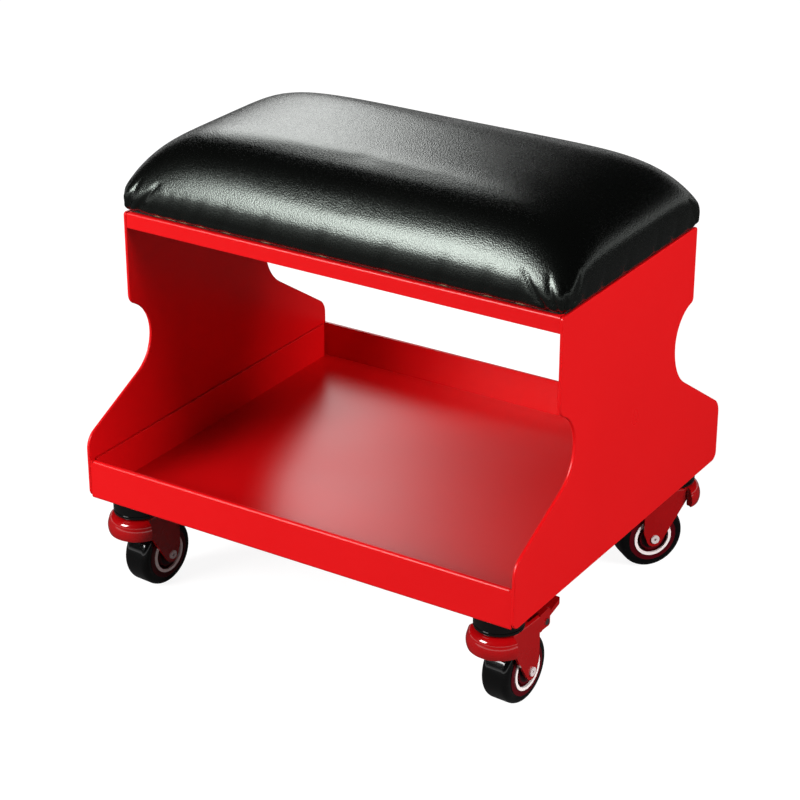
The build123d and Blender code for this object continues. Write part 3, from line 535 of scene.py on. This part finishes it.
def startCushion(settings, base):
    inset = settings["startInset"]
    slab = settings["slabHeight"]
    size = (settings["length"] - 2 * inset, settings["depth"] - 2 * inset, 1.0)
    bpy.ops.mesh.primitive_cube_add(size=1.0, location=(0.0, settings["shiftY"], 0.5))
    pad = bpy.context.active_object
    pad.name = "cushion"
    pad.scale = size
    bpy.ops.object.transform_apply(location=True, rotation=False, scale=True)
    bpy.ops.object.mode_set(mode="EDIT")
    bpy.ops.mesh.select_mode(type="EDGE")
    bpy.ops.mesh.select_all(action="DESELECT")
    bpy.ops.object.mode_set(mode="OBJECT")
    for edge in pad.data.edges:
        low, high = (pad.data.vertices[i].co for i in edge.vertices)
        edge.select = abs(low.z - high.z) > 0.5
    bpy.ops.object.mode_set(mode="EDIT")
    bpy.ops.mesh.bevel(offset=settings["cornerRadius"], segments=settings["cornerSegments"], affect="EDGES")
    bpy.ops.object.mode_set(mode="OBJECT")
    # flatten to a thin slab, remesh it finely, then raise its top to the crown
    for vertex in pad.data.vertices:
        vertex.co.z = base + slab * round(vertex.co.z)
    remesh(pad, settings["voxel"])
    for vertex in pad.data.vertices:
        x, y, z = vertex.co
        share = max(0.0, min(1.0, (z - base) / slab))
        vertex.co.z = base + share * (crownHeight(settings, x, y) - inset)
    remesh(pad, settings["voxel"])
    return pad


def inflate(pad, settings, base):
    held = pad.vertex_groups.new(name="held")
    top = base + settings["heldHeight"]
    flat = [v.index for v in pad.data.vertices if v.co.z < top and v.normal.z < settings["heldFacing"]]
    held.add(flat, 1.0, "REPLACE")
    before = [v.co.copy() for v in pad.data.vertices]
    cloth = pad.modifiers.new("cloth", "CLOTH")
    cloth.settings.quality = settings["quality"]
    cloth.settings.mass = settings["mass"]
    cloth.settings.tension_stiffness = settings["tension"]
    cloth.settings.compression_stiffness = settings["tension"]
    cloth.settings.shear_stiffness = settings["shear"]
    cloth.settings.bending_stiffness = settings["bending"]
    cloth.settings.use_pressure = True
    cloth.settings.uniform_pressure_force = settings["pressure"]
    cloth.settings.vertex_group_mass = held.name
    cloth.settings.effector_weights.gravity = 0.0
    cloth.point_cache.frame_start = 1
    cloth.point_cache.frame_end = settings["frames"]
    for step in range(1, settings["frames"] + 1):
        bpy.context.scene.frame_set(step)
    bpy.ops.object.modifier_apply(modifier=cloth.name)
    bpy.context.scene.frame_set(1)
    moved = 0.0
    for vertex, start in zip(pad.data.vertices, before):
        step = vertex.co - start
        moved = max(moved, step.length)
        vertex.co = start + step * (settings["cap"] / (settings["cap"] + step.length))
    soften = pad.modifiers.new("soften", "SMOOTH")
    soften.factor = 0.5
    soften.iterations = settings["smoothing"]
    bpy.ops.object.modifier_apply(modifier=soften.name)
    print("cushion inflated, largest move", round(moved * 1000, 1), "mm")


def seatTop():
    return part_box("seat_pan")[1].z


def fitCushion(pad, settings, base):
    # back to the real size after the simulation
    xs = [v.co.x for v in pad.data.vertices]
    ys = [v.co.y for v in pad.data.vertices]
    zs = [v.co.z for v in pad.data.vertices]
    scaleX = settings["length"] / (max(xs) - min(xs))
    scaleY = settings["depth"] / (max(ys) - min(ys))
    scaleZ = (settings["edgeHeight"] + settings["crown"]) / (max(zs) - base)
    midX = (max(xs) + min(xs)) / 2
    midY = (max(ys) + min(ys)) / 2
    for vertex in pad.data.vertices:
        vertex.co.x = (vertex.co.x - midX) * scaleX
        vertex.co.y = settings["shiftY"] + (vertex.co.y - midY) * scaleY
        vertex.co.z = base + max(0.0, (vertex.co.z - base) * scaleZ)


def makeCushion(settings):
    base = seatTop() + settings["clearance"]
    pad = startCushion(settings, base)
    print("cushion blank:", len(pad.data.vertices), "points")
    inflate(pad, settings, base)
    fitCushion(pad, settings, base)
    return pad


pad = makeCushion(cushion)


folds = {
    # no folds above this height, or where a face looks nearly straight up or down
    "foldTop": 0.04,
    "leastOutward": 0.2,
    "boardLine": 0.0095,
    "boardLineWidth": 0.0030,
    "boardLineDepth": 0.0007,
    "wobbleScale": 30.0,
    "wobbleLayer": 3.0,
    "wobbleMiddle": 0.7,
    "wobbleShare": 0.6,
    "footTuck": 0.0040,
    "footHeight": 0.0075,
    # pleats at each corner: where they start beside the corner, and how far they lean with height
    "pleats": ((-0.0085, -0.55), (-0.0015, -0.08), (0.0060, 0.42), (0.0150, 0.80)),
    "pleatDepth": 0.0034,
    "pleatWidth": 0.0024,
    "pleatHeight": 0.034,
    "pleatReach": 0.05,
    "pleatFade": 0.7,
    "pleatSharpness": 1.4,
    "puckerDepth": 0.0012,
    "puckerWidth": 0.0052,
    "puckerHeight": 0.032,
    "puckerLean": 0.12,
    "puckersX": (-0.201, -0.187, -0.172, -0.158, -0.139, -0.112,
                 -0.070, -0.012, 0.052, 0.108, 0.150, 0.181),
    "puckersY": (-0.093, -0.061, -0.022, 0.031, 0.066, 0.095),
}


def besideCorner(x, y, halfX, halfY, corner):
    # distance along the outline from the nearest corner, less than 0 on the end, over 0 on the long side
    awayX = abs(x) - (halfX - corner)
    awayY = abs(y) - (halfY - corner)
    quarter = corner * math.pi / 4
    if awayX > 0 and awayY > 0:
        return corner * (math.atan2(awayY, awayX) - math.pi / 4)
    if awayY > awayX:
        return quarter - awayX
    return awayY - quarter


def foldDepth(settings, size, x, y, height):
    halfX = size["length"] / 2
    halfY = size["depth"] / 2
    # where the foam bulges over the edge of the board
    line = (height - settings["boardLine"]) / settings["boardLineWidth"]
    scale = settings["wobbleScale"]
    spread = noise.noise(Vector((x * scale, y * scale, settings["wobbleLayer"])))
    wobble = settings["wobbleMiddle"] + settings["wobbleShare"] * spread
    depth = settings["boardLineDepth"] * wobble * math.exp(-line * line)
    # drawn in at the foot
    if height < settings["footHeight"]:
        depth += settings["footTuck"] * (1.0 - height / settings["footHeight"]) ** 2
    # pleats gathered at the corners
    beside = besideCorner(x, y, halfX, halfY, size["cornerRadius"])
    fade = max(0.0, 1.0 - height / settings["pleatHeight"]) ** settings["pleatFade"]
    if abs(beside) < settings["pleatReach"]:
        for start, lean in settings["pleats"]:
            gap = abs(beside - start - lean * height) / settings["pleatWidth"]
            depth += settings["pleatDepth"] * fade * math.exp(-gap ** settings["pleatSharpness"])
    # puckers where the vinyl is stapled below
    onLong = halfY - abs(y) < halfX - abs(x)
    along, places = (x, settings["puckersX"]) if onLong else (y, settings["puckersY"])
    fade = max(0.0, 1.0 - height / settings["puckerHeight"])
    for place in places:
        gap = (along - place - settings["puckerLean"] * height) / settings["puckerWidth"]
        depth += settings["puckerDepth"] * fade * math.exp(-gap * gap)
    return depth


def addFolds(pad, settings, size, base):
    normals = [v.normal.copy() for v in pad.data.vertices]
    for vertex, normal in zip(pad.data.vertices, normals):
        height = vertex.co.z - base
        outward = Vector((normal.x, normal.y, 0.0))
        if height > settings["foldTop"] or outward.length < settings["leastOutward"]:
            continue
        y = vertex.co.y - size["shiftY"]
        vertex.co -= outward.normalized() * foldDepth(settings, size, vertex.co.x, y, height)


def finishCushion(pad, settings, size):
    base = seatTop() + size["clearance"]
    smooth = pad.modifiers.new("smooth", "SUBSURF")
    smooth.levels = 1
    smooth.render_levels = 1
    bpy.ops.object.modifier_apply(modifier=smooth.name)
    addFolds(pad, settings, size, base)
    bpy.ops.object.shade_smooth()
    pad.data.materials.clear()
    pad.data.materials.append(finishes["black_vinyl"])
    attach(pad, "frame")
    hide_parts("seat_cover", "seat_foam")
    print("cushion finished:", len(pad.data.polygons), "faces")


finishCushion(pad, folds, cushion)


# studio: floor, backdrop light and soft boxes

studio = {
    "floorSize": 30.0,
    "floorColour": (0.22, 0.22, 0.22, 1.0),
    "floorMirrored": (0.05, 0.05, 0.05, 1.0),
    "cameraLift": 0.90,
    "glossyLift": 0.01,
    "worldDiffuse": 0.13,
    "worldCeiling": 0.008,
    "ceilingStart": 0.0,
    "ceilingEnd": 0.16,
    # a lamp that isn't mirrored lights the paint and leaves no reflection in the vinyl
    "lamps": [
        {"name": "frontLeft", "place": (-1.05, -2.08, 1.60), "size": (1.1, 1.1),
         "energy": 53.0, "mirrored": True},
        {"name": "frontFill", "place": (-1.30, -2.20, 0.85), "size": (1.2, 0.9),
         "energy": 44.0, "mirrored": False},
        {"name": "backLeft", "place": (-1.60, 1.88, 1.45), "size": (0.70, 1.2),
         "energy": 9.5, "mirrored": True},
        {"name": "right", "place": (2.40, 0.00, 1.10), "size": (1.0, 0.8),
         "energy": 66.0, "mirrored": False},
    ],
    "target": (0.0, 0.0, 0.25),
}


def makeFloor(settings):
    # white for the camera, with the object's shadow; dark in reflections, as in the photograph
    bpy.ops.mesh.primitive_plane_add(size=settings["floorSize"], location=(0.0, 0.0, 0.0))
    floor = bpy.context.active_object
    floor.name = "floor"
    material = bpy.data.materials.new("floor")
    material.use_nodes = True
    tree = material.node_tree
    tree.nodes.remove(tree.nodes["Principled BSDF"])
    end = tree.nodes["Material Output"]
    cover = addNode(tree, "ShaderNodeBsdfDiffuse", (-300, 150))
    path = addNode(tree, "ShaderNodeLightPath", (-900, -150))
    shade = addNode(tree, "ShaderNodeMix", (-550, 200), data_type="RGBA")
    shade.inputs["A"].default_value = settings["floorColour"]
    shade.inputs["B"].default_value = settings["floorMirrored"]
    join(tree, path, "Is Glossy Ray", shade, "Factor")
    join(tree, shade, "Result", cover, "Color")
    seen = addNode(tree, "ShaderNodeMath", (-650, -150), operation="MAXIMUM")
    join(tree, path, "Is Camera Ray", seen, 0)
    join(tree, path, "Is Transmission Ray", seen, 1)
    lift = addNode(tree, "ShaderNodeMath", (-450, -150), operation="MULTIPLY")
    lift.inputs[1].default_value = settings["cameraLift"]
    join(tree, seen, "Value", lift, 0)
    shine = addNode(tree, "ShaderNodeMath", (-450, -350), operation="MULTIPLY_ADD")
    shine.inputs[1].default_value = settings["glossyLift"]
    join(tree, path, "Is Glossy Ray", shine, 0)
    join(tree, lift, "Value", shine, 2)
    glow = addNode(tree, "ShaderNodeEmission", (-50, -150))
    join(tree, shine, "Value", glow, "Strength")
    total = addNode(tree, "ShaderNodeAddShader", (150, 0))
    join(tree, cover, "BSDF", total, 0)
    join(tree, glow, "Emission", total, 1)
    join(tree, total, "Shader", end, "Surface")
    floor.data.materials.append(material)


def makeWorld(settings):
    # seen directly it is white; in reflections it is white at the horizon and dark overhead
    world = bpy.data.worlds.new("studio")
    bpy.context.scene.world = world
    world.use_nodes = True
    tree = world.node_tree
    back = tree.nodes["Background"]
    path = addNode(tree, "ShaderNodeLightPath", (-900, 200))
    place = addNode(tree, "ShaderNodeTexCoord", (-1100, -150))
    split = addNode(tree, "ShaderNodeSeparateXYZ", (-900, -150))
    join(tree, place, "Generated", split, "Vector")
    ceiling = addNode(tree, "ShaderNodeMapRange", (-700, -150), interpolation_type="SMOOTHSTEP")
    setInputs(ceiling, {"From Min": settings["ceilingStart"], "From Max": settings["ceilingEnd"],
                        "To Min": 1.0, "To Max": settings["worldCeiling"]})
    join(tree, split, "Z", ceiling, "Value")
    glossy = addNode(tree, "ShaderNodeMix", (-450, 0))
    glossy.inputs["A"].default_value = settings["worldDiffuse"]
    join(tree, path, "Is Glossy Ray", glossy, "Factor")
    join(tree, ceiling, "Result", glossy, "B")
    seen = addNode(tree, "ShaderNodeMath", (-450, 250), operation="MAXIMUM")
    join(tree, path, "Is Camera Ray", seen, 0)
    join(tree, path, "Is Transmission Ray", seen, 1)
    final = addNode(tree, "ShaderNodeMix", (-200, 100))
    final.inputs["B"].default_value = 1.0
    join(tree, seen, "Value", final, "Factor")
    join(tree, glossy, "Result", final, "A")
    back.inputs["Color"].default_value = (1.0, 1.0, 1.0, 1.0)
    join(tree, final, "Result", back, "Strength")


def makeLamps(settings):
    target = Vector(settings["target"])
    for lamp in settings["lamps"]:
        data = bpy.data.lights.new(lamp["name"], "AREA")
        data.shape = "RECTANGLE"
        data.size, data.size_y = lamp["size"]
        data.energy = lamp["energy"]
        holder = bpy.data.objects.new(lamp["name"], data)
        bpy.context.scene.collection.objects.link(holder)
        holder.location = lamp["place"]
        holder.visible_glossy = lamp["mirrored"]
        aim = target - Vector(lamp["place"])
        holder.rotation_euler = aim.to_track_quat("-Z", "Y").to_euler()


makeFloor(studio)
makeWorld(studio)
makeLamps(studio)
bpy.context.scene.view_settings.view_transform = "Standard"
print("studio lit")
